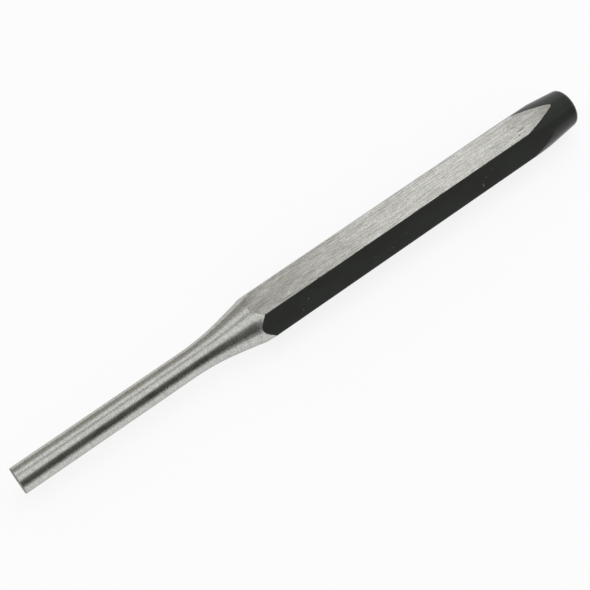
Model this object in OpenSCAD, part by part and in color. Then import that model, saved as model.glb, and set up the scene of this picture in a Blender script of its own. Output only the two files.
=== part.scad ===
// Pin punch: one bar of steel, drawn as the zones that its shape, use and finish divide it into.
// It lies along X on a flat of its hexagon, with the pin towards -X and the struck end towards +X.
// The origin is on the surface that it lies on, under the middle of its length.

/* [Bar] */
// Length from the pin's end face to the struck face
length = 152.4; // [130:0.1:220]
// Width of the hexagonal bar across its flats
across_flats = 11.11; // [9.5:0.01:16]
// How far the hexagon's corners are eased, towards the axis
corner_ease = 0.05; // [0.02:0.01:0.3]

/* [Pin] */
// Diameter of the parallel pin
pin_d = 6.35; // [3:0.05:8]
// Length of the parallel pin
pin_l = 42.5; // [25:0.5:60]
// Chamfer round the pin's end
pin_chamfer = 0.2; // [0.1:0.05:0.8]

/* [Neck] */
// Radius of the hollow curve that leads out of the pin
neck_hollow_r = 58; // [20:1:70]
// Angle of the neck's cone to the axis
neck_angle = 11.3; // [8:0.1:14]
// Radius of the shoulder that cuts the hexagon's corners
shoulder_r = 4.6; // [3:0.1:12]

/* [Head] */
// Length of the tapered head
head_l = 15.5; // [8:0.5:25]
// Diameter of the head at its struck end, before the rim is rounded
head_d = 9.3; // [8:0.1:10.8]
// Radius of the struck end's rim
rim_r = 1.1; // [0.3:0.1:2]

/* [Ground flat] */
// Depth ground off the upper flat where it meets the neck
ground_neck = 0.1; // [0.1:0.05:0.4]
// Depth ground off the upper flat in line with the struck face
ground_head = 0.35; // [0.1:0.05:0.6]
// Thickness of the zone that carries the ground finish
ground_t = 1; // [0.5:0.1:2]

/* [Hidden] */
$fn = 96;

ARC_STEPS = 12;
ARCH_STEPS = 24;
HEX_SIDES = 6;
HALF_SIDE = 180 / HEX_SIDES;
TOWARDS_AXIS = 180;
TOWARDS_HEAD = 90;

apothem = across_flats / 2;
sharp_corner_r = apothem / cos(HALF_SIDE);
corner_r = sharp_corner_r - corner_ease;
pin_r = pin_d / 2;
head_r = head_d / 2;

// The neck leaves the pin on the hollow curve, runs on as a cone and meets the flats at neck_end.
hollow_end = pin_l + neck_hollow_r * sin(neck_angle);
hollow_end_r = pin_r + neck_hollow_r * (1 - cos(neck_angle));
neck_end = hollow_end + (apothem - hollow_end_r) / tan(neck_angle);

// The shoulder goes on from neck_end and steepens until it leaves the corners.
shoulder_angle = acos(cos(neck_angle) - (corner_r - apothem) / shoulder_r);

// The head's cone starts at the corners, at head_start.
head_start = length - head_l;
head_slope = (corner_r - head_r) / head_l;
head_angle = atan(head_slope);
rim_place = length - rim_r;
rim_centre_r = head_r + head_slope * rim_r - rim_r / cos(head_angle);

// The ground flat sinks slowly towards the head, and ends where the head's cone drops below it.
ground_slope = (ground_head - ground_neck) / (length - neck_end);
arch_tip = min(length, length - (apothem - ground_head - head_r) / (head_slope - ground_slope));
ground_floor = apothem - ground_head - ground_t;

overrun = across_flats;

// Height of the ground flat above the axis, at a place along the bar
function ground_height(place) = apothem - ground_neck - ground_slope * (place - neck_end);

// Radius of the head's cone, at a place along the bar
function cone_r(place) = head_r + head_slope * (length - place);

// Half the flat's width between the neighbouring flats, at a place along the bar
function ridge_half(place) = (apothem - ground_height(place) * cos(2 * HALF_SIDE)) / sin(2 * HALF_SIDE);

// Half the flat's width where the head's cone narrows it
function arch_half(place) = sqrt(max(0, pow(cone_r(place), 2) - pow(ground_height(place), 2)));

// An arc's points as [radius, place], with angle 0 pointing away from the axis and 90 towards the head
function arc(centre, r, first, last) = [
    for (i = [0 : ARC_STEPS])
        let (a = first + (last - first) * i / ARC_STEPS)
            centre + r * [cos(a), sin(a)]
];

hollow_points = arc(
    [pin_r + neck_hollow_r, pin_l], neck_hollow_r, TOWARDS_AXIS, TOWARDS_AXIS - neck_angle
);
shoulder_points = arc(
    [apothem + shoulder_r * cos(neck_angle), neck_end - shoulder_r * sin(neck_angle)],
    shoulder_r, TOWARDS_AXIS - neck_angle, TOWARDS_AXIS - shoulder_angle
);
rim_points = arc([rim_centre_r, rim_place], rim_r, head_angle, TOWARDS_HEAD);

// Lays a shape that stands along Z along X instead, on the surface that the punch lies on
module lay_down() {
    translate([-length / 2, 0, apothem])
        rotate([0, 90, 0])
            children();
}

// A solid turned about the axis from an outline of [radius, place] points
module turned(outline) {
    rotate_extrude()
        polygon(outline);
}

// The hexagon between two places along the bar, with a flat facing up
module hexagon(from, to) {
    translate([0, 0, from])
        linear_extrude(height = to - from)
            rotate(HALF_SIDE)
                circle(r = sharp_corner_r, $fn = HEX_SIDES);
}

// What lies above the ground flat's plane
module ground_off() {
    first = -overrun;
    last = length + overrun;
    rotate([90, 0, 0])
        linear_extrude(height = 2 * overrun, center = true)
            polygon([
                [-ground_height(first), first],
                [-ground_height(last), last],
                [-overrun, last],
                [-overrun, first]
            ]);
}

// The zone of the ground finish: straight along the bar, then an arch on the head
module ground_zone() {
    arch = [
        for (i = [0 : ARCH_STEPS - 1])
            let (place = arch_tip - (arch_tip - head_start) * pow(1 - i / ARCH_STEPS, 2))
                [min(ridge_half(place), arch_half(place)), place]
    ];
    side = concat([[ridge_half(neck_end), neck_end]], arch);
    other_side = [for (i = [len(side) - 1 : -1 : 0]) [-side[i][0], side[i][1]]];
    translate([-ground_floor, 0, 0])
        rotate([0, -90, 0])
            linear_extrude(height = overrun)
                polygon([for (p = concat(side, other_side)) [p[1], p[0]]]);
}

// The turned surfaces past the neck: the shoulder, the eased corners, the head's cone and its rim
module envelope() {
    turned(concat(
        [[0, neck_end]],
        shoulder_points,
        [[corner_r, head_start]],
        rim_points,
        [[0, length]]
    ));
}

// The room that the shoulder leaves, wider than the bar past its corners
module shoulder_reach() {
    turned(concat(
        [[0, neck_end]],
        shoulder_points,
        [[overrun, length], [0, length]]
    ));
}

// A stretch of the bar, before its upper flat is ground
module bar(from, to) {
    intersection() {
        hexagon(from, to);
        envelope();
    }
}

// Working end: a parallel pin with a small chamfer
module pin() {
    color("silver")
        lay_down()
            turned([
                [0, 0],
                [pin_r - pin_chamfer, 0],
                [pin_r, pin_chamfer],
                [pin_r, pin_l],
                [0, pin_l]
            ]);
}

// Turned neck that carries the pin out of the bar, its top skimmed by the grinding
module neck() {
    color("silver")
        lay_down()
            difference() {
                turned(concat([[0, pin_l]], hollow_points, [[apothem, neck_end], [0, neck_end]]));
                ground_off();
            }
}

// Black hexagonal bar, with the seat of the ground zone taken out of it
module shank() {
    color([0.16, 0.17, 0.16])
        lay_down()
            difference() {
                bar(neck_end, head_start);
                ground_zone();
            }
}

// Bright ground zone of the upper flat
module ground_flat() {
    color("gainsboro")
        lay_down()
            difference() {
                intersection() {
                    ground_zone();
                    shoulder_reach();
                }
                ground_off();
            }
}

// Black tapered head with the struck end
module head() {
    color([0.2, 0.21, 0.2])
        lay_down()
            difference() {
                bar(head_start, length);
                ground_zone();
            }
}

pin();
neck();
shank();
ground_flat();
head();
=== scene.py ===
import random
from math import asin, atan2, cos, exp, hypot, pi, radians, sin, sqrt, tan

import bmesh
import bpy
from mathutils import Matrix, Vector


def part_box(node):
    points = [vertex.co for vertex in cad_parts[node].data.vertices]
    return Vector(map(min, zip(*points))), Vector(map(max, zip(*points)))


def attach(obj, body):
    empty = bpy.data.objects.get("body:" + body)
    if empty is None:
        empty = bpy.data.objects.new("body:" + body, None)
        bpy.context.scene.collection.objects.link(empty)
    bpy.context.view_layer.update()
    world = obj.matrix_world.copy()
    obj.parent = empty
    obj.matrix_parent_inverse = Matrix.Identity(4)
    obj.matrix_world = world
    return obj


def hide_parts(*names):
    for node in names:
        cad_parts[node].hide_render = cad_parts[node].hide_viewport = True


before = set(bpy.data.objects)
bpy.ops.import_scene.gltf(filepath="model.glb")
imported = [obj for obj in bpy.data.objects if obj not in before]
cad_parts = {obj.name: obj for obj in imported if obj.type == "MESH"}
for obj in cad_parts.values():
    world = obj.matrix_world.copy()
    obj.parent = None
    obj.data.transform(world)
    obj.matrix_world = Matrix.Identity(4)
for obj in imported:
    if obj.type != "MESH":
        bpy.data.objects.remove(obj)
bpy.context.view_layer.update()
mm = 0.001


def extent(node, axis):
    low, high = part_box(node)
    return low[axis] / mm, high[axis] / mm


# The bar's own sizes in millimetres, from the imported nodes. A place is the distance from the pin's end.
tipX = extent("pin", 0)[0]
bar = {
    "length": extent("head", 0)[1] - tipX,
    "apothem": sum(extent("pin", 2)) / 2,
    "pinRadius": (extent("pin", 1)[1] - extent("pin", 1)[0]) / 2,
    "pinEnd": extent("pin", 0)[1] - tipX,
    "neckEnd": extent("neck", 0)[1] - tipX,
    "headStart": extent("shank", 0)[1] - tipX,
    "cornerRadius": (extent("shank", 1)[1] - extent("shank", 1)[0]) / 2,
    "filletRadius": 0.32,  # rounding along the hexagon's corners
    "groundDepth": 0.1,    # taken off the upper flat by the grinding
    "sides": 6,
    "sidePoints": 20,      # points from one corner of the hexagon to the next
}
cornerTurn = radians(360 / bar["sides"])
groundHeight = bar["apothem"] - bar["groundDepth"]
ridgeHalf = (bar["apothem"] - groundHeight * cos(cornerTurn)) / sin(cornerTurn)
ridgeAngle = atan2(ridgeHalf, groundHeight)
ridgeRadius = hypot(ridgeHalf, groundHeight)
print("frame loaded:", ", ".join(f"{name} {value:.2f}" for name, value in bar.items()))


# Node trees

class Field:
    # A socket that can be written in sums, in shader and geometry trees alike
    def __init__(self, socket):
        self.socket = socket
        self.tree = socket.id_data

    def math(self, operation, *others):
        return mathNode(self.tree, operation, self, *others)

    def __add__(self, other):
        return self.math("ADD", other)

    def __radd__(self, other):
        return self.math("ADD", other)

    def __sub__(self, other):
        return self.math("SUBTRACT", other)

    def __rsub__(self, other):
        return mathNode(self.tree, "SUBTRACT", other, self)

    def __mul__(self, other):
        return self.math("MULTIPLY", other)

    def __truediv__(self, other):
        return self.math("DIVIDE", other)

    def __pow__(self, other):
        return self.math("POWER", other)

    def least(self, other):
        return self.math("MINIMUM", other)

    def most(self, other):
        return self.math("MAXIMUM", other)

    def over(self, other):
        return self.math("GREATER_THAN", other)

    def under(self, other):
        return self.math("LESS_THAN", other)

    def sine(self):
        return self.math("SINE")

    def cosine(self):
        return self.math("COSINE")

    def root(self):
        return self.math("SQRT")

    def size(self):
        return self.math("ABSOLUTE")


def put(value, socket):
    if isinstance(value, Field):
        socket.id_data.links.new(value.socket, socket)
    else:
        socket.default_value = value


def mathNode(tree, operation, *values):
    node = tree.nodes.new("ShaderNodeMath")
    node.operation = operation
    for value, socket in zip(values, node.inputs):
        put(value, socket)
    return Field(node.outputs[0])


def addNode(tree, kind, settings=None, **values):
    node = tree.nodes.new(kind)
    for name, value in (settings or {}).items():
        setattr(node, name, value)
    for name, value in values.items():
        put(value, node.inputs[name.replace("_", " ")])
    return node


# Camera, light and floor

studio = {
    "lens": 81.0,
    "sensorWidth": 36.0,
    "nearClip": 0.01,
    "cameraPlace": (-0.083277, -0.126974, 0.257015),
    "cameraTurn": (0.53128, 0.05554, -0.649942),
    "roomLevel": 0.66,      # light from all round, on matt surfaces
    "floorReach": 3.0,
    "floorGap": 0.00003,    # keeps the floor just under the punch
    "floorColour": 0.14,
    "floorGlow": 0.85,      # lifts the floor to white where it is seen
    "softboxPower": 3.0,
    "softboxSize": 0.9,
    "softboxPlace": (0.25, 0.20, 0.95),
}
# Cards that only reflections show: their left, right, near and far edges before they are turned about X,
# the width over which each edge fades out, the turn in degrees, the middle of the turned card and its tone
cards = {
    "frontCard": {"edges": (-0.95, 1.2, 0.0, 1.08), "fade": (0.8, 0.75, 0.05, 0.62), "turn": 90,
                  "middle": (0.15, -0.55, 0.0), "tone": (0.078, 0.079, 0.067)},
    "frontMat": {"edges": (-0.95, 1.2, 0.0, 0.545), "fade": (0.8, 0.75, 0.001, 0.09), "turn": 0,
                 "middle": (0.15, -0.55, 0.001), "tone": (0.10, 0.10, 0.085)},
    "backCard": {"edges": (-0.75, 0.75, -1.0, 0.0), "fade": (0.1, 0.1, 0.60, 0.001), "turn": -90,
                 "middle": (-0.40, 0.62, 0.0), "tone": (0.41, 0.40, 0.365)},
    "overheadStrip": {"edges": (-1.1, 1.1, -0.18, 0.18), "fade": (0.1, 0.1, 0.17, 0.17), "turn": 180,
                      "middle": (0.10, 0.12, 0.82), "tone": (0.45, 0.45, 0.425)},
    "rightCard": {"edges": (-0.34, 0.7, -0.8, 0.8), "fade": (0.25, 0.3, 0.35, 0.35), "turn": 180,
                  "middle": (0.95, 0.0, 0.85), "tone": (0.09, 0.09, 0.08)},
}

scene = bpy.context.scene
scene.view_settings.view_transform = "Standard"


def makeCamera():
    data = bpy.data.cameras.new("photoCamera")
    data.lens = studio["lens"]
    data.sensor_width = studio["sensorWidth"]
    data.clip_start = studio["nearClip"]
    camera = bpy.data.objects.new("photoCamera", data)
    camera.location = studio["cameraPlace"]
    camera.rotation_euler = studio["cameraTurn"]
    scene.collection.objects.link(camera)
    scene.camera = camera


def plane(name, left, right, near, far):
    mesh = bpy.data.meshes.new(name)
    corners = [(left, near, 0), (right, near, 0), (right, far, 0), (left, far, 0)]
    mesh.from_pydata(corners, [], [(0, 1, 2, 3)])
    made = bpy.data.objects.new(name, mesh)
    scene.collection.objects.link(made)
    return made


def emptyMaterial(made):
    # Gives an object a material without nodes, and returns its node tree
    material = bpy.data.materials.new(made.name)
    material.use_nodes = True
    material.node_tree.nodes.clear()
    made.data.materials.append(material)
    return material.node_tree


def seenOrReflected(tree):
    # 1 for what the camera sees, directly or in metal or glass
    path = tree.nodes.new("ShaderNodeLightPath").outputs
    seen = Field(path["Is Camera Ray"])
    return seen.most(Field(path["Is Glossy Ray"])).most(Field(path["Is Transmission Ray"]))


def makeWorld():
    world = bpy.data.worlds.new("whiteRoom")
    scene.world = world
    world.use_nodes = True
    tree = world.node_tree
    light = tree.nodes["Background"]
    level = addNode(tree, "ShaderNodeMapRange", Value=seenOrReflected(tree), To_Min=studio["roomLevel"],
                    To_Max=1.0)
    put((1, 1, 1, 1), light.inputs["Color"])
    put(Field(level.outputs["Result"]), light.inputs["Strength"])


def makeFloor():
    reach = studio["floorReach"]
    floor = plane("paleFloor", -reach, reach, -reach, reach)
    floor.location = (0, 0, -studio["floorGap"])
    tree = emptyMaterial(floor)
    matt = addNode(tree, "ShaderNodeBsdfDiffuse", Color=(*[studio["floorColour"]] * 3, 1))
    glow = addNode(tree, "ShaderNodeEmission", Strength=seenOrReflected(tree) * studio["floorGlow"])
    both = tree.nodes.new("ShaderNodeAddShader")
    put(Field(matt.outputs[0]), both.inputs[0])
    put(Field(glow.outputs[0]), both.inputs[1])
    put(Field(both.outputs[0]), tree.nodes.new("ShaderNodeOutputMaterial").inputs["Surface"])


def makeCards():
    for name, card in cards.items():
        made = plane(name, *card["edges"])
        made.location = card["middle"]
        made.rotation_euler = (radians(card["turn"]), 0, 0)
        tree = emptyMaterial(made)
        coordinates = Field(tree.nodes.new("ShaderNodeTexCoord").outputs["Object"])
        spot = addNode(tree, "ShaderNodeSeparateXYZ", Vector=coordinates)
        share = 1.0
        for axis, edge, fade in zip("XXYY", card["edges"], card["fade"]):
            away = (Field(spot.outputs[axis]) - edge).size()
            one = addNode(tree, "ShaderNodeMapRange", {"interpolation_type": "SMOOTHSTEP"}, Value=away,
                          From_Min=0.0, From_Max=fade)
            share = Field(one.outputs[0]) * share
        glow = addNode(tree, "ShaderNodeEmission", Color=(*card["tone"], 1))
        mix = tree.nodes.new("ShaderNodeMixShader")
        put(share, mix.inputs[0])
        put(Field(tree.nodes.new("ShaderNodeBsdfTransparent").outputs[0]), mix.inputs[1])
        put(Field(glow.outputs[0]), mix.inputs[2])
        put(Field(mix.outputs[0]), tree.nodes.new("ShaderNodeOutputMaterial").inputs["Surface"])
        made.visible_camera = made.visible_diffuse = made.visible_shadow = False


def makeSoftbox():
    data = bpy.data.lights.new("softbox", "AREA")
    data.shape = "SQUARE"
    data.size = studio["softboxSize"]
    data.energy = studio["softboxPower"]
    softbox = bpy.data.objects.new("softbox", data)
    softbox.location = studio["softboxPlace"]
    softbox.visible_glossy = False
    aim = -softbox.location
    softbox.rotation_euler = aim.to_track_quat("-Z", "Y").to_euler()
    scene.collection.objects.link(softbox)


makeCamera()
makeWorld()
makeFloor()
makeCards()
makeSoftbox()
print("camera, light and floor made")


# The bar's shape

# The neck's turned outline, and its shoulder, which steepens until it has left the hexagon's corners
turnedRule = {
    "Tip": tipX,
    "Pin radius": bar["pinRadius"],
    "Hollow start": bar["pinEnd"],
    "Hollow radius": 58.0,
    "Neck angle": radians(11.3),
    "Apothem": bar["apothem"],
    "Ground height": groundHeight,
    "Corner radius": bar["cornerRadius"],
    "Fillet radius": bar["filletRadius"],
    "Shoulder start": 58.0,
    "Shoulder end": 62.16,
    "Later on top": 1.4,     # the shoulder is shorter on the ground flat's side: it starts later
    "Sooner on top": 0.72,   # and ends sooner
    "Top spread": 3.5,       # how fast that gives way to the other sides
}
# Cosines of the angle from the top. Above the first, a corner is ground off, so it isn't rounded.
# Below the second, the ground plane lies outside the bar.
cutCosine = 0.7
planeCosine = 0.5


def barRadius(angle):
    # The hexagon's radius with its upper flat ground; angles start at the top and grow towards -Y
    local = abs(angle - round(angle / cornerTurn) * cornerTurn)
    centre = bar["cornerRadius"] - bar["filletRadius"]
    radius = bar["apothem"] / cos(local)
    if local > atan2(centre * sin(cornerTurn / 2), bar["apothem"]) and cos(angle) < cutCosine:
        turn = cornerTurn / 2 - local
        radius = centre * cos(turn) + sqrt(bar["filletRadius"] ** 2 - (centre * sin(turn)) ** 2)
    return min(radius, groundHeight / max(cos(angle), planeCosine))


def scallopPlace(angle):
    # The place where the turned shoulder meets a flat: early in the flat's middle, later at its corners
    neckAngle, hollow = turnedRule["Neck angle"], turnedRule["Hollow radius"]
    slope = tan(neckAngle)
    coneStart = turnedRule["Hollow start"] + hollow * sin(neckAngle)
    coneRadius = turnedRule["Pin radius"] + hollow * (1 - cos(neckAngle))
    top = max(0, cos(angle)) ** turnedRule["Top spread"]
    start = turnedRule["Shoulder start"] + turnedRule["Later on top"] * top
    length = turnedRule["Shoulder end"] - turnedRule["Sooner on top"] * top - start
    startRadius = coneRadius + slope * (start - coneStart)
    steep = (turnedRule["Corner radius"] - startRadius - slope * length) / length ** 2
    climb = barRadius(angle) - startRadius
    return start + (sqrt(slope ** 2 + 4 * steep * climb) - slope) / (2 * steep)


def bunched(share):
    # -1 to 1 across one side, crowded towards the corners
    return (1 - (1 - abs(share)) ** 2) * (1 if share > 0 else -1)


sameAngle = 1e-6    # radians within which two points of a row are one


def sideAngles(first, last):
    # Angles of the points on some of the sides, from ridge to ridge
    found = []
    for side in range(first, last + 1):
        for point in range(bar["sidePoints"] + 1):
            angle = radians(60 * side + 30 * bunched(2 * point / bar["sidePoints"] - 1))
            if first == last:
                angle = min(max(angle, -ridgeAngle), ridgeAngle)
                if point in (0, bar["sidePoints"]):
                    angle = ridgeAngle * (1 if point else -1)
            else:
                angle = min(max(angle, ridgeAngle), 2 * pi - ridgeAngle)
            if not found or angle - found[-1] > sameAngle:
                found.append(angle)
    return found


blackAngles = sideAngles(1, 5)
topAngles = sideAngles(0, 0)

# The black taper, the grinding that rolls down over it, and the struck end
taper = {
    "endRadius": 4.65,
    "rimRadius": 1.1,
    "rollStart": 142.0,
    "rollRadius": 61.5,
    "archRows": 24,
    "archCrowding": 1.6,    # how much the rows crowd towards the arch's tip
    "flankRows": 10,
    "coneRows": 40,
    "rimRows": 8,
    "faceRows": 10,
    "crown": 0.06,          # how far the struck face stands up in its middle
    "rimBand": 0.3,         # width of the rim's fully worn band
    "rimWear": 0.8,
    "creaseWear": 0.4,
    "creaseSlant": 0.4,     # a distance along the bar times this is the distance from the crease
    "cornerRun": 1.0,       # how far the wear of the hexagon's corners runs onto the head
}
# The hidden seat of the zone with the ground finish
seat = {
    "depth": 1.25,
    "lean": 0.67,        # its lower width as a share of its upper width
    "hubRise": 0.3,      # height of the middle of its end face above its floor
    "wearRise": 0.5,     # nothing is worn below this height above its floor
}
seatFloor = groundHeight - seat["depth"]
taperSlope = (bar["cornerRadius"] - taper["endRadius"]) / (bar["length"] - bar["headStart"])


def taperRadius(place):
    return taper["endRadius"] + taperSlope * (bar["length"] - place)


def taperPlace(radius):
    return bar["length"] - (radius - taper["endRadius"]) / taperSlope


def rolledHeight(place):
    return groundHeight - max(0, place - taper["rollStart"]) ** 2 / (2 * taper["rollRadius"])


def archHalf(place):
    return sqrt(max(0, taperRadius(place) ** 2 - rolledHeight(place) ** 2))


archBase = taperPlace(ridgeRadius)
rollGap = taperRadius(taper["rollStart"]) - groundHeight
archTip = taper["rollStart"] + taper["rollRadius"] * (
    taperSlope - sqrt(taperSlope ** 2 - 2 * rollGap / taper["rollRadius"])
)
archPlaces = [
    archTip - (archTip - archBase) * (1 - row / taper["archRows"]) ** taper["archCrowding"]
    for row in range(taper["archRows"] + 1)
]


def toFrame(place, y, z):
    return (place + tipX) * mm, y * mm, (bar["apothem"] + z) * mm


def turnedPoint(place, angle, radius):
    return toFrame(place, -radius * sin(angle), radius * cos(angle))


def seatPoint(place, half, side):
    # On the edge of the seat's floor; half is the ground flat's half width there, side is 1 or -1
    return toFrame(place, side * half * seat["lean"], seatFloor)


def between(first, last, share):
    return first + (last - first) * share


# In metres: points closer than the first become one, and edges shorter than the second are dropped
weldDistance = 2e-7
collapseDistance = 1e-8
# Degrees between two faces past which the edge that they share looks sharp
turnedSharp = 25
hexagonSharp = 20


def finishMesh(mesh, sharpAngle):
    work = bmesh.new()
    work.from_mesh(mesh)
    bmesh.ops.remove_doubles(work, verts=work.verts, dist=weldDistance)
    bmesh.ops.dissolve_degenerate(work, edges=work.edges, dist=collapseDistance)
    bmesh.ops.recalc_face_normals(work, faces=work.faces)
    loose = sum(1 for edge in work.edges if len(edge.link_faces) != 2)
    work.to_mesh(mesh)
    work.free()
    mesh.shade_smooth()
    mesh.set_sharp_from_angle(angle=radians(sharpAngle))
    return loose


def finishPiece(piece, node, sharpAngle, closeness):
    # closeness gives 1 on the edges that wear and less away from them
    mesh = piece.data
    loose = finishMesh(mesh, sharpAngle)
    edge = mesh.attributes.new("edge", "FLOAT", "POINT")
    for vertex in mesh.vertices:
        x, y, z = (value / mm for value in vertex.co)
        edge.data[vertex.index].value = closeness(x - tipX, y, z - bar["apothem"])
    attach(piece, "root")
    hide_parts(node)
    print(piece.name, "made:", len(mesh.polygons), "faces,", loose, "open edges")


def meshPiece(name, points, faces, material):
    mesh = bpy.data.meshes.new(name)
    mesh.from_pydata(points, [], faces)
    mesh.materials.append(material)
    piece = bpy.data.objects.new(name, mesh)
    scene.collection.objects.link(piece)
    return piece


class Skin:
    # Collects the points and faces of one solid
    def __init__(self):
        self.points = []
        self.faces = []

    def row(self, points):
        first = len(self.points)
        self.points.extend(points)
        return list(range(first, len(self.points)))

    def strip(self, one, other, closed=True):
        count = len(one)
        for j in range(count if closed else count - 1):
            k = (j + 1) % count
            self.faces.append((one[j], one[k], other[k], other[j]))

    def fan(self, ring, centre):
        hub = self.row([centre])[0]
        for j in range(len(ring)):
            self.faces.append((ring[j], ring[(j + 1) % len(ring)], hub))


# Distances in millimetres over which wear falls away from the edges
wearReach = {"tip": 0.25, "scallop": 0.5, "corner": 0.35, "arch": 0.3, "taper": 0.35}
# Angle and radius of each ridge and of each corner that keeps its rounding
edges = [(side * ridgeAngle, ridgeRadius) for side in (1, -1)]
edges += [(radians(angle), bar["cornerRadius"]) for angle in (90, -90, 150, -150)]


def cornerCloseness(y, z):
    # 1 on the hexagon's corners and ridges, falling away from them
    angle, radius = atan2(-y, z), hypot(y, z)
    nearest = min(hypot(radius * sin(angle - at), radius * cos(angle - at) - out) for at, out in edges)
    return exp(-nearest / wearReach["corner"])


# Materials

def newGroup(name, inputs, outputs):
    tree = bpy.data.node_groups.new(name, "ShaderNodeTree")
    for label, value in inputs.items():
        kind = "NodeSocketVector" if isinstance(value, tuple) else "NodeSocketFloat"
        tree.interface.new_socket(label, in_out="INPUT", socket_type=kind).default_value = value
    for label in outputs:
        tree.interface.new_socket(label, in_out="OUTPUT", socket_type="NodeSocketFloat")
    start = tree.nodes.new("NodeGroupInput")
    end = tree.nodes.new("NodeGroupOutput")
    return tree, {label: Field(start.outputs[label]) for label in inputs}, end.inputs


def objectVector(tree, scale=(1.0, 1.0, 1.0)):
    place = tree.nodes.new("ShaderNodeTexCoord")
    mapping = addNode(tree, "ShaderNodeMapping", Vector=Field(place.outputs["Object"]), Scale=scale)
    return Field(mapping.outputs[0])


def noise(tree, vector, scale, detail, roughness):
    node = addNode(tree, "ShaderNodeTexNoise", Vector=vector, Scale=scale, Detail=detail,
                   Roughness=roughness)
    return Field(node.outputs[0])


def spread(value, low, high, toLow=0.0, toHigh=1.0):
    node = addNode(value.tree, "ShaderNodeMapRange", Value=value, From_Min=low, From_Max=high,
                   To_Min=toLow, To_Max=toHigh)
    return Field(node.outputs[0])


def mixColour(tree, factor, one, other):
    node = tree.nodes.new("ShaderNodeMix")
    node.data_type = "RGBA"
    put(factor, node.inputs[0])
    put(one if isinstance(one, Field) else (*one, 1), node.inputs[6])
    put(other if isinstance(other, Field) else (*other, 1), node.inputs[7])
    return Field(node.outputs[2])


def useGroup(tree, group, values):
    node = tree.nodes.new("ShaderNodeGroup")
    node.node_tree = group
    for name, value in values.items():
        put(value, node.inputs[name])
    return {socket.name: Field(socket) for socket in node.outputs}


def toolLines():
    # Parallel lines or grain left by a cutting tool or a grinding belt: one stretched noise
    inputs = {"Stretch": (1.0, 1.0, 1.0), "Contrast": 0.14}
    tree, given, out = newGroup("toolLines", inputs, ("Height", "Tone"))
    height = noise(tree, objectVector(tree, given["Stretch"]), 1.0, 1.0, 0.5)
    put(height, out["Height"])
    put(spread(height, 0.5 - given["Contrast"], 0.5 + given["Contrast"]), out["Tone"])
    return tree


def softPatches():
    # Patches of a slightly different tone: noise with its middle range spread from 0 to 1
    inputs = {"Stretch": (1.0, 1.0, 1.0), "Detail": 4.0, "Roughness": 0.6}
    tree, given, out = newGroup("softPatches", inputs, ("Tone",))
    vector = objectVector(tree, given["Stretch"])
    put(spread(noise(tree, vector, 1.0, given["Detail"], given["Roughness"]), 0.3, 0.7), out["Tone"])
    return tree


def edgeWear():
    # Wear along the edges, broken up by noise; the piece's own attribute says where its edges are
    inputs = {"Width": 0.5, "Breakup": 0.35, "Scale": 900.0}
    tree, given, out = newGroup("edgeWear", inputs, ("Mask",))
    edge = Field(addNode(tree, "ShaderNodeAttribute", {"attribute_name": "edge"}).outputs["Fac"])
    broken = (noise(tree, objectVector(tree), given["Scale"], 3.0, 0.6) - 0.5) * given["Breakup"]
    starts = 1 - given["Width"]
    isFull = 1.15 - given["Width"] * 0.6
    put(spread(edge + broken, starts, isFull), out["Mask"])
    return tree


def specks():
    # Sparse small marks, each with a size of its own
    inputs = {"Scale": 300.0, "Size": 0.12, "Share": 0.2}
    tree, given, out = newGroup("specks", inputs, ("Mask",))
    cells = addNode(tree, "ShaderNodeTexVoronoi", Vector=objectVector(tree), Scale=given["Scale"])
    # each cell's colour is random: red picks the cells with a mark, green sets the mark's size
    colour = addNode(tree, "ShaderNodeSeparateColor", Color=Field(cells.outputs["Color"]))
    chosen = Field(colour.outputs["Red"]).under(given["Share"])
    radius = given["Size"] * (Field(colour.outputs["Green"]) * 0.8 + 0.2)
    put(chosen * spread(Field(cells.outputs["Distance"]) / radius, 1.0, 0.5), out["Mask"])
    return tree


toolLinesGroup = toolLines()
softPatchesGroup = softPatches()
edgeWearGroup = edgeWear()
specksGroup = specks()


def newMaterial(name, metallic, **constants):
    material = bpy.data.materials.new(name)
    material.use_nodes = True
    tree = material.node_tree
    shader = tree.nodes["Principled BSDF"]
    shader.inputs["Metallic"].default_value = metallic
    for label, value in constants.items():
        shader.inputs[label.replace("_", " ")].default_value = value
    return material, tree, shader.inputs


def bumps(tree, height, distance):
    node = addNode(tree, "ShaderNodeBump", Height=height, Distance=distance, Strength=1.0)
    return Field(node.outputs["Normal"])


def blend(parts):
    # A weighted sum of masks: pairs of a mask and its share
    total = None
    for mask, share in parts:
        total = mask * share if total is None else total + mask * share
    return total


markCore = 0.3    # share of a mark's half sizes within which it has its full strength


def markMask(tree, marks):
    # Single marks at known spots: place, y and height above the axis, and half sizes, all in millimetres
    coordinates = Field(tree.nodes.new("ShaderNodeTexCoord").outputs["Object"])
    mask = None
    for place, y, z, sizes, strength in marks:
        centre = toFrame(place, y, z)
        scale = tuple(1 / (size * mm) for size in sizes)
        near = addNode(tree, "ShaderNodeMapping", Vector=coordinates, Scale=scale,
                       Location=tuple(-at * by for at, by in zip(centre, scale)))
        away = tree.nodes.new("ShaderNodeVectorMath")
        away.operation = "LENGTH"
        put(Field(near.outputs[0]), away.inputs[0])
        one = spread(Field(away.outputs["Value"]), 1.0, markCore, 0.0, strength)
        mask = one if mask is None else mask.most(one)
    return mask


def alongBar(tree):
    # Place along the bar in millimetres from the pin's end
    coordinates = Field(tree.nodes.new("ShaderNodeTexCoord").outputs["Object"])
    return Field(addNode(tree, "ShaderNodeSeparateXYZ", Vector=coordinates).outputs["X"]) / mm - tipX


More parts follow.
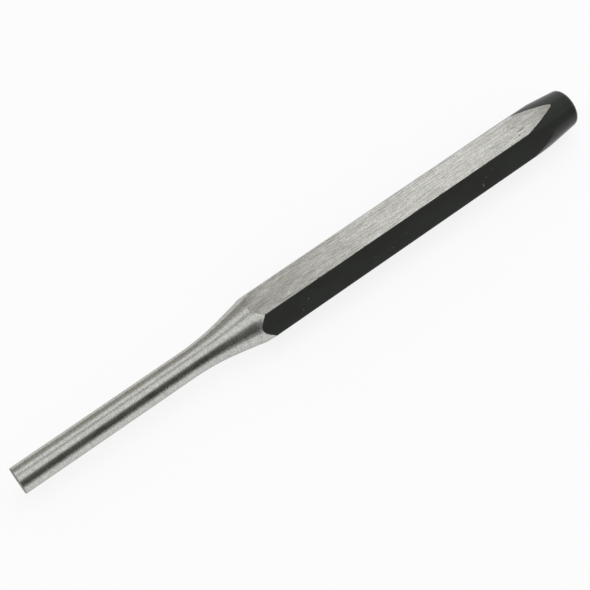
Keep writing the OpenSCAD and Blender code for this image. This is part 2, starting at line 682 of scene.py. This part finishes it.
# A Stretch says how fine a pattern is along x, y and z, in cells of noise per metre
turned = {
    "dark": (0.38, 0.378, 0.359),
    "light": (0.69, 0.69, 0.664),
    "tint": (0.7, 0.7, 0.68, 1.0),   # at grazing angles
    # painted shade: the pin's end face is coloured darker to stand for the shade on it
    "endFace": (0.26, 0.26, 0.245),
    "endFacePlaces": (0.30, 0.15),   # where the end face's painted shade and its extra roughness start and are whole
    "endFaceRougher": 0.25,
    "rings": {"Stretch": (3000.0, 110.0, 110.0), "Contrast": 0.14},
    "dashes": {"Stretch": (3300.0, 2200.0, 2200.0), "Contrast": 0.12},
    "stains": {"Stretch": (300.0, 300.0, 300.0), "Detail": 4.0, "Roughness": 0.6},
    "dashDepth": 0.000008,
    "ringShare": 0.2,
    "dashShare": 0.52,
    "stainShare": 0.18,
    "baseShare": 0.05,
    "roughness": (0.18, 0.27),
}


def turnedSteel():
    material, tree, shader = newMaterial("turnedSteel", 1.0, Specular_Tint=turned["tint"])
    rings = useGroup(tree, toolLinesGroup, turned["rings"])
    dashes = useGroup(tree, toolLinesGroup, turned["dashes"])
    stain = useGroup(tree, softPatchesGroup, turned["stains"])["Tone"]
    # the end face gets a darker colour, a painted shade, and more roughness
    endFace = spread(alongBar(tree), *turned["endFacePlaces"])
    tone = blend((
        (rings["Tone"], turned["ringShare"]), (dashes["Tone"], turned["dashShare"]),
        (stain, turned["stainShare"])
    )) + turned["baseShare"]
    base = mixColour(tree, tone, turned["dark"], turned["light"])
    put(mixColour(tree, endFace, base, turned["endFace"]), shader["Base Color"])
    roughness = spread(stain, 0.0, 1.0, *turned["roughness"])
    put(roughness + endFace * turned["endFaceRougher"], shader["Roughness"])
    put(bumps(tree, dashes["Height"], turned["dashDepth"]), shader["Normal"])
    return material


ground = {
    "dark": (0.43, 0.425, 0.388),
    "light": (0.97, 0.965, 0.925),
    # the colour of the painted shade on the flat
    "paintedShade": (0.25, 0.245, 0.215),
    "smudge": (0.20, 0.20, 0.18),
    "streaks": {"Stretch": (170.0, 9500.0, 400.0), "Contrast": 0.11},
    "scratches": {"Stretch": (600.0, 11000.0, 600.0), "Contrast": 0.1},
    "grain": {"Stretch": (2700.0, 3600.0, 2700.0), "Contrast": 0.1},
    "patches": {"Stretch": (160.0, 420.0, 420.0), "Detail": 3.0, "Roughness": 0.55},
    "streakDepth": 0.0000045,
    "streakShare": 0.46,
    "scratchShare": 0.19,
    "grainShare": 0.31,
    "patchShare": 0.04,
    # painted shade on the flat: two places and the share of painted shade at each, near the neck and near
    # the head
    "shadeNearNeck": (60.0, 108.0, 0.65, 0.0),
    "shadeNearHead": (134.0, 147.0, 0.0, 0.68),
    "patchShade": 0.1,      # how much the patches and the scratches break that up
    "scratchShade": 0.3,
    "roughness": (0.38, 0.52),
    # place, y and height above the axis, half sizes, strength
    "marks": (
        (135.3, -2.2, 5.4, (0.45, 0.28, 1.0), 0.95),
        (136.6, -1.2, 5.4, (1.3, 0.35, 1.0), 0.6),
        (135.6, 0.4, 5.4, (0.9, 0.3, 1.0), 0.5),
        (134.9, 1.2, 5.4, (0.7, 0.25, 1.0), 0.45),
        (133.2, -1.6, 5.4, (0.9, 0.25, 1.0), 0.4),
    ),
}


def groundSteel():
    material, tree, shader = newMaterial("groundSteel", 1.0)
    streaks = useGroup(tree, toolLinesGroup, ground["streaks"])
    scratches = useGroup(tree, toolLinesGroup, ground["scratches"])
    grain = useGroup(tree, toolLinesGroup, ground["grain"])
    patch = useGroup(tree, softPatchesGroup, ground["patches"])["Tone"]
    tone = blend((
        (streaks["Tone"], ground["streakShare"]), (scratches["Tone"], ground["scratchShare"]),
        (grain["Tone"], ground["grainShare"]), (patch, ground["patchShare"])
    ))
    base = mixColour(tree, tone, ground["dark"], ground["light"])
    place = alongBar(tree)
    # painted shade: the flat is coloured darker towards the neck and towards the head, broken up by the
    # patches and the scratches
    paintedShade = spread(place, *ground["shadeNearNeck"]) + spread(place, *ground["shadeNearHead"])
    paintedShade = paintedShade + (patch - 0.5) * ground["patchShade"] + (0.5 - scratches["Tone"]) * ground["scratchShade"]
    base = mixColour(tree, paintedShade, base, ground["paintedShade"])
    put(mixColour(tree, markMask(tree, ground["marks"]), base, ground["smudge"]), shader["Base Color"])
    put(spread(patch, 0.0, 1.0, *ground["roughness"]), shader["Roughness"])
    put(bumps(tree, streaks["Height"], ground["streakDepth"]), shader["Normal"])
    return material


black = {
    "deep": (0.0315, 0.0306, 0.0272),
    "worn": (0.0306, 0.0372, 0.0332),
    "edge": (0.10, 0.105, 0.095),
    "speck": (0.20, 0.20, 0.18),
    "reflection": 0.24,
    "roughness": (0.19, 0.27),
    "clouds": {"Stretch": (120.0, 260.0, 260.0), "Detail": 4.0, "Roughness": 0.6},
    "grainScale": 5200.0,
    "grainDepth": 0.0000012,
    "wear": {"Width": 0.35, "Breakup": 0.5, "Scale": 1500.0},
    "wearShare": 0.5,
    "specks": {"Scale": 420.0, "Size": 0.10, "Share": 0.08},
    "speckShare": 0.35,
    "marks": (
        (72.2, -4.74, 2.9, (0.22, 0.2, 0.2), 0.9),
        (70.1, -5.54, 1.5, (0.18, 0.2, 0.2), 0.6),
        (99.4, -4.93, 2.57, (0.2, 0.2, 0.2), 0.4),
        (95.2, -5.48, 1.62, (0.2, 0.2, 0.2), 0.35),
        (125.2, -4.4, 3.48, (0.2, 0.2, 0.2), 0.5),
        (123.1, -4.83, 2.74, (0.2, 0.2, 0.2), 0.7),
        (121.8, -5.53, 1.53, (0.24, 0.45, 0.8), 0.72),
    ),
}


def blackSteel():
    material, tree, shader = newMaterial("blackSteel", 0.0, Specular_IOR_Level=black["reflection"])
    cloud = useGroup(tree, softPatchesGroup, black["clouds"])["Tone"]
    grain = noise(tree, objectVector(tree), black["grainScale"], 2.0, 0.6)
    wear = useGroup(tree, edgeWearGroup, black["wear"])["Mask"] * black["wearShare"]
    dots = useGroup(tree, specksGroup, black["specks"])["Mask"] * black["speckShare"]
    spots = dots.most(markMask(tree, black["marks"]))
    base = mixColour(tree, cloud, black["deep"], black["worn"])
    base = mixColour(tree, wear, base, black["edge"])
    put(mixColour(tree, spots, base, black["speck"]), shader["Base Color"])
    put(spread(cloud, 0.0, 1.0, *black["roughness"]), shader["Roughness"])
    put(bumps(tree, grain, black["grainDepth"]), shader["Normal"])
    return material


turnedMaterial = turnedSteel()
groundMaterial = groundSteel()
blackMaterial = blackSteel()
print("materials made")


# Pin and neck: turned steel, by one Geometry Nodes tree

# From and To are places; the lead is the first ring's length; Scalloped lets the end follow the flats
pin = {
    "From": 0.0,
    "To": bar["pinEnd"],
    "Lead": 0.2,
    "Chamfer": 0.2,
    "Scalloped": 0.0,
    "Rows": 66,
}
neck = {
    "From": bar["pinEnd"],
    "To": bar["neckEnd"],
    "Lead": 0.3,
    "Chamfer": 0.0,
    "Scalloped": 1.0,
    "Rows": 60,
}
mergeDistance = 1e-6    # in metres
middleRadius = 1.0    # points nearer to the axis than this are the middles of the end faces


def turnedTree():
    tree = bpy.data.node_groups.new("turnedBar", "GeometryNodeTree")
    face = tree.interface
    face.new_socket("Geometry", in_out="INPUT", socket_type="NodeSocketGeometry")
    for label, value in {**turnedRule, **pin, "Columns": 0}.items():
        kind = "NodeSocketInt" if label in ("Rows", "Columns") else "NodeSocketFloat"
        face.new_socket(label, in_out="INPUT", socket_type=kind).default_value = value
    face.new_socket("Material", in_out="INPUT", socket_type="NodeSocketMaterial")
    face.new_socket("Geometry", in_out="OUTPUT", socket_type="NodeSocketGeometry")
    start = tree.nodes.new("NodeGroupInput")
    given = {socket.name: Field(socket) for socket in start.outputs if socket.name}

    grid = addNode(tree, "GeometryNodeMeshGrid", Size_X=1.0, Size_Y=1.0, Vertices_X=given["Rows"],
                   Vertices_Y=given["Columns"])
    position = Field(tree.nodes.new("GeometryNodeInputPosition").outputs[0])
    spot = addNode(tree, "ShaderNodeSeparateXYZ", Vector=position)
    row = ((Field(spot.outputs["X"]) + 0.5) * (given["Rows"] - 1)).math("ROUND")
    around = (Field(spot.outputs["Y"]) + 0.5) * bar["sides"]

    # angle of each column, crowded towards the hexagon's corners
    halfTurn = cornerTurn / 2
    side = around.math("FLOOR")
    share = (around - side) * 2 - 1
    local = share.math("SIGN") * (1 - (1 - share.size()) ** 2) * halfTurn
    angle = side * cornerTurn + local
    up = angle.cosine()

    # the flats that the turned shoulder runs into, and the place where it does
    centre = given["Corner radius"] - given["Fillet radius"]
    turn = halfTurn - local.size()
    flat = given["Apothem"] / local.size().cosine()
    reach = (given["Fillet radius"] ** 2 - (centre * turn.sine()) ** 2).most(0).root()
    rounded = centre * turn.cosine() + reach
    filletStart = (centre * sin(halfTurn)).math("ARCTAN2", given["Apothem"])
    flat = flat + local.size().over(filletStart) * up.under(cutCosine) * (rounded - flat)
    flat = flat.least(given["Ground height"] / up.most(planeCosine))

    hollowLength = given["Hollow radius"] * given["Neck angle"].sine()
    slope = given["Neck angle"].math("TANGENT")
    coneStart = given["Hollow start"] + hollowLength
    coneRadius = given["Pin radius"] + given["Hollow radius"] * (1 - given["Neck angle"].cosine())
    top = up.most(0) ** given["Top spread"]
    shoulder = given["Shoulder start"] + given["Later on top"] * top
    length = given["Shoulder end"] - given["Sooner on top"] * top - shoulder
    shoulderRadius = coneRadius + slope * (shoulder - coneStart)
    steep = (given["Corner radius"] - shoulderRadius - slope * length) / length ** 2
    leaves = shoulder + ((slope ** 2 + steep * (flat - shoulderRadius) * 4).root() - slope) / (steep * 2)

    # place of each ring; the grid's first and last rows become the middles of the end faces
    last = given["Rows"] - 3
    ring = (row - 1).most(0).least(last)
    end = given["To"] + given["Scalloped"] * (leaves - given["To"])
    place = given["From"] + given["Lead"] * ring.least(1) + (
        (end - given["From"] - given["Lead"]) * ((ring - 1).most(0) / (last - 1))
    )
    isLast = row.over(last + 1.5)
    place = place + isLast * (given["To"] - place)

    # radius: the pin, the hollow, the cone, then the steepening shoulder
    hollow = (place - given["Hollow start"]).most(0).least(hollowLength)
    hollowRise = given["Hollow radius"] - (given["Hollow radius"] ** 2 - hollow ** 2).root()
    rise = hollowRise + slope * (place - coneStart).most(0) + steep * (place - shoulder).most(0) ** 2
    chamfer = (given["Chamfer"] - (place - given["From"])).most(0)
    radius = given["Pin radius"] + rise - chamfer
    radius = radius * row.over(0.5) * (1 - isLast)

    x = (place + given["Tip"]) * mm
    y = radius * angle.sine() * -mm
    z = (given["Apothem"] + radius * up) * mm
    target = addNode(tree, "ShaderNodeCombineXYZ", X=x, Y=y, Z=z)
    moved = addNode(tree, "GeometryNodeSetPosition", Geometry=Field(grid.outputs["Mesh"]),
                    Position=Field(target.outputs[0]))
    merged = addNode(tree, "GeometryNodeMergeByDistance", Geometry=Field(moved.outputs[0]),
                     Distance=mergeDistance)
    real = addNode(tree, "GeometryNodeRealizeInstances", Geometry=Field(merged.outputs[0]))
    painted = addNode(tree, "GeometryNodeSetMaterial", Geometry=Field(real.outputs[0]),
                      Material=given["Material"])
    output = tree.nodes.new("NodeGroupOutput")
    put(Field(painted.outputs[0]), output.inputs[0])
    return tree


turnedBar = turnedTree()


def turnedPiece(name, sizes):
    piece = meshPiece(name, [(0, 0, 0)], [], turnedMaterial)
    modifier = piece.modifiers.new("turnedBar", "NODES")
    modifier.node_group = turnedBar
    columns = bar["sides"] * bar["sidePoints"] + 1
    values = {**turnedRule, **sizes, "Columns": columns, "Material": turnedMaterial}
    for item in turnedBar.interface.items_tree:
        if item.in_out == "INPUT" and item.name in values:
            modifier[item.identifier] = values[item.name]
    built = piece.evaluated_get(bpy.context.evaluated_depsgraph_get())
    made = bpy.data.meshes.new_from_object(built)
    piece.modifiers.clear()
    piece.data = made
    made.name = name
    return piece


def pinCloseness(place, y, z):
    return exp(-hypot(place, hypot(y, z) - bar["pinRadius"]) / wearReach["tip"])


def neckCloseness(place, y, z):
    if hypot(y, z) < middleRadius:
        return 0
    return exp(-abs(place - scallopPlace(atan2(-y, z))) / wearReach["scallop"])


finishPiece(turnedPiece("turnedPin", pin), "pin", turnedSharp, pinCloseness)
finishPiece(turnedPiece("turnedNeck", neck), "neck", turnedSharp, neckCloseness)


# Shank: the black hexagon

shank = {
    "rows": 220,
    "nickSeed": 7,
    "nicks": 70,             # small nicks along each ridge
    "nickStart": 62,
    "nickDepth": (0.02, 0.11),
    "backShare": 0.3,        # how deep the back ridge's nicks are beside the front's
    "nickLength": (0.15, 0.7),
    "nickReach": 2,          # lengths past which a nick has no depth
    # the larger chips on the front ridge: place, depth and length
    "chips": ((76.2, 0.16, 0.35), (78.7, 0.15, 0.3), (71.4, 0.09, 0.3)),
}
shankShares = [row / shank["rows"] for row in range(shank["rows"] + 1)]


def makeNicks(seed, extra=()):
    pick = random.Random(seed)
    found = [
        (
            pick.uniform(shank["nickStart"], bar["headStart"]), pick.uniform(*shank["nickDepth"]),
            pick.uniform(*shank["nickLength"])
        )
        for _ in range(shank["nicks"])
    ]
    return found + list(extra)


nicks = {1: makeNicks(shank["nickSeed"], shank["chips"]), -1: makeNicks(shank["nickSeed"] + 1)}


def nickDepth(place, side):
    deepest = 0
    for at, depth, length in nicks[side]:
        away = abs(place - at) / length
        if away < shank["nickReach"]:
            deepest = max(deepest, depth * exp(-away * away * 2))
    return deepest * (1 if side > 0 else shank["backShare"])


def shankPiece():
    skin = Skin()
    rows = []
    for share in shankShares:
        points = []
        for angle in blackAngles:
            place = between(scallopPlace(angle), bar["headStart"], share)
            radius = barRadius(angle)
            if angle == blackAngles[0]:
                radius -= nickDepth(place, 1)
            elif angle == blackAngles[-1]:
                radius -= nickDepth(place, -1)
            points.append(turnedPoint(place, angle, radius))
        place = between(bar["neckEnd"], bar["headStart"], share)
        points += [seatPoint(place, ridgeHalf, side) for side in (1, -1)]
        rows.append(skin.row(points))
    for one, other in zip(rows, rows[1:]):
        skin.strip(one, other)
    skin.fan(rows[0], toFrame(bar["neckEnd"], 0, 0))
    skin.fan(rows[-1], toFrame(bar["headStart"], 0, 0))
    return meshPiece("blackShank", skin.points, skin.faces, blackMaterial)


def shankCloseness(place, y, z):
    return cornerCloseness(y, z)


finishPiece(shankPiece(), "shank", hexagonSharp, shankCloseness)


# Ground flat: the bright upper face

def groundPiece():
    skin = Skin()
    rows = []
    for share in shankShares:
        points = []
        for angle in reversed(topAngles):
            place = between(scallopPlace(angle), bar["headStart"], share)
            y, z = -groundHeight * tan(angle), groundHeight
            if abs(angle) == ridgeAngle:
                less = 1 - nickDepth(place, 1 if angle > 0 else -1) / ridgeRadius
                y, z = y * less, z * less
            points.append(toFrame(place, y, z))
        place = between(bar["neckEnd"], bar["headStart"], share)
        points += [seatPoint(place, ridgeHalf, side) for side in (1, -1)]
        rows.append(skin.row(points))
    for place in archPlaces:
        half, height = archHalf(place), rolledHeight(place)
        points = [
            toFrame(place, -half * tan(angle) / tan(ridgeAngle), height) for angle in reversed(topAngles)
        ]
        points += [seatPoint(place, half, side) for side in (1, -1)]
        rows.append(skin.row(points))
    for one, other in zip(rows, rows[1:]):
        skin.strip(one, other)
    skin.fan(rows[0], toFrame(bar["neckEnd"], 0, seatFloor + seat["hubRise"]))
    return meshPiece("brightFlat", skin.points, skin.faces, groundMaterial)


def flatCloseness(place, y, z):
    if z < seatFloor + seat["wearRise"]:
        return 0
    half = ridgeHalf if place < archBase else archHalf(place)
    return exp(-max(0, half - abs(y)) / wearReach["arch"])


finishPiece(groundPiece(), "ground_flat", hexagonSharp, flatCloseness)


# Head: the black taper with the struck end

def headPiece():
    skin = Skin()
    rimAngle = atan2(taperSlope, 1)
    rimCentre = taper["endRadius"] + taperSlope * taper["rimRadius"] - taper["rimRadius"] / cos(rimAngle)
    rimPlace = bar["length"] - taper["rimRadius"] - taper["crown"]
    rimStart = rimPlace + taper["rimRadius"] * sin(rimAngle)

    arch = [(place, asin(archHalf(place) / taperRadius(place))) for place in archPlaces]
    front = [(angle, place) for place, angle in reversed(arch[1:])]
    back = [(2 * pi - angle, place) for place, angle in arch[1:-1]]
    creases = [(angle, taperPlace(barRadius(angle))) for angle in blackAngles]
    columns = front + creases + back

    # the flanks, from the shank to the taper
    flankRows = []
    for row in range(taper["flankRows"] + 1):
        share = row / taper["flankRows"]
        flankRows.append(skin.row([
            turnedPoint(between(bar["headStart"], crease, share), angle, barRadius(angle))
            for angle, crease in creases
        ]))
    for one, other in zip(flankRows, flankRows[1:]):
        skin.strip(one, other, closed=False)

    # the taper, all round
    rings = []
    for row in range(taper["coneRows"] + 1):
        share = row / taper["coneRows"]
        points = []
        for angle, start in columns:
            place = between(start, rimStart, share)
            points.append(turnedPoint(place, angle, taperRadius(place)))
        rings.append(skin.row(points))
    # the rounded rim and the struck face
    for row in range(1, taper["rimRows"] + 1):
        turn = rimAngle + (pi / 2 - rimAngle) * row / taper["rimRows"]
        place = rimPlace + taper["rimRadius"] * sin(turn)
        radius = rimCentre + taper["rimRadius"] * cos(turn)
        rings.append(skin.row([turnedPoint(place, angle, radius) for angle, _ in columns]))
    for row in range(1, taper["faceRows"]):
        share = 1 - row / taper["faceRows"]
        place = bar["length"] - taper["crown"] * share ** 2
        rings.append(skin.row([turnedPoint(place, angle, rimCentre * share) for angle, _ in columns]))
    for one, other in zip(rings, rings[1:]):
        skin.strip(one, other)
    skin.fan(rings[-1], toFrame(bar["length"], 0, 0))

    # the seat under the arch of the ground flat
    edge = [
        (between(bar["headStart"], archBase, row / taper["flankRows"]), ridgeHalf, groundHeight)
        for row in range(taper["flankRows"])
    ]
    edge += [(place, archHalf(place), rolledHeight(place)) for place in archPlaces]
    sides = []
    for side in (1, -1):
        upper = skin.row([toFrame(place, side * half, height) for place, half, height in edge])
        lower = skin.row([seatPoint(place, half, side) for place, half, _ in edge])
        skin.strip(upper, lower, closed=False)
        sides.append(lower)
    skin.strip(*sides, closed=False)

    # the hidden face towards the shank
    floorEnds = skin.row([seatPoint(bar["headStart"], ridgeHalf, side) for side in (1, -1)])
    skin.fan(flankRows[0] + floorEnds, toFrame(bar["headStart"], 0, 0))
    return meshPiece("blackHead", skin.points, skin.faces, blackMaterial)


def headCloseness(place, y, z):
    angle, radius = atan2(-y, z), hypot(y, z)
    crease = abs(place - taperPlace(barRadius(angle))) * taper["creaseSlant"]
    rim = hypot(place - bar["length"], radius - taper["endRadius"]) - taper["rimBand"]
    reach = wearReach["taper"]
    near = max(exp(-max(0, rim) / reach) * taper["rimWear"], exp(-crease / reach) * taper["creaseWear"])
    runsOn = place < bar["headStart"] + taper["cornerRun"]
    return max(near, cornerCloseness(y, z) if runsOn else 0)


finishPiece(headPiece(), "head", hexagonSharp, headCloseness)
print("pieces made")
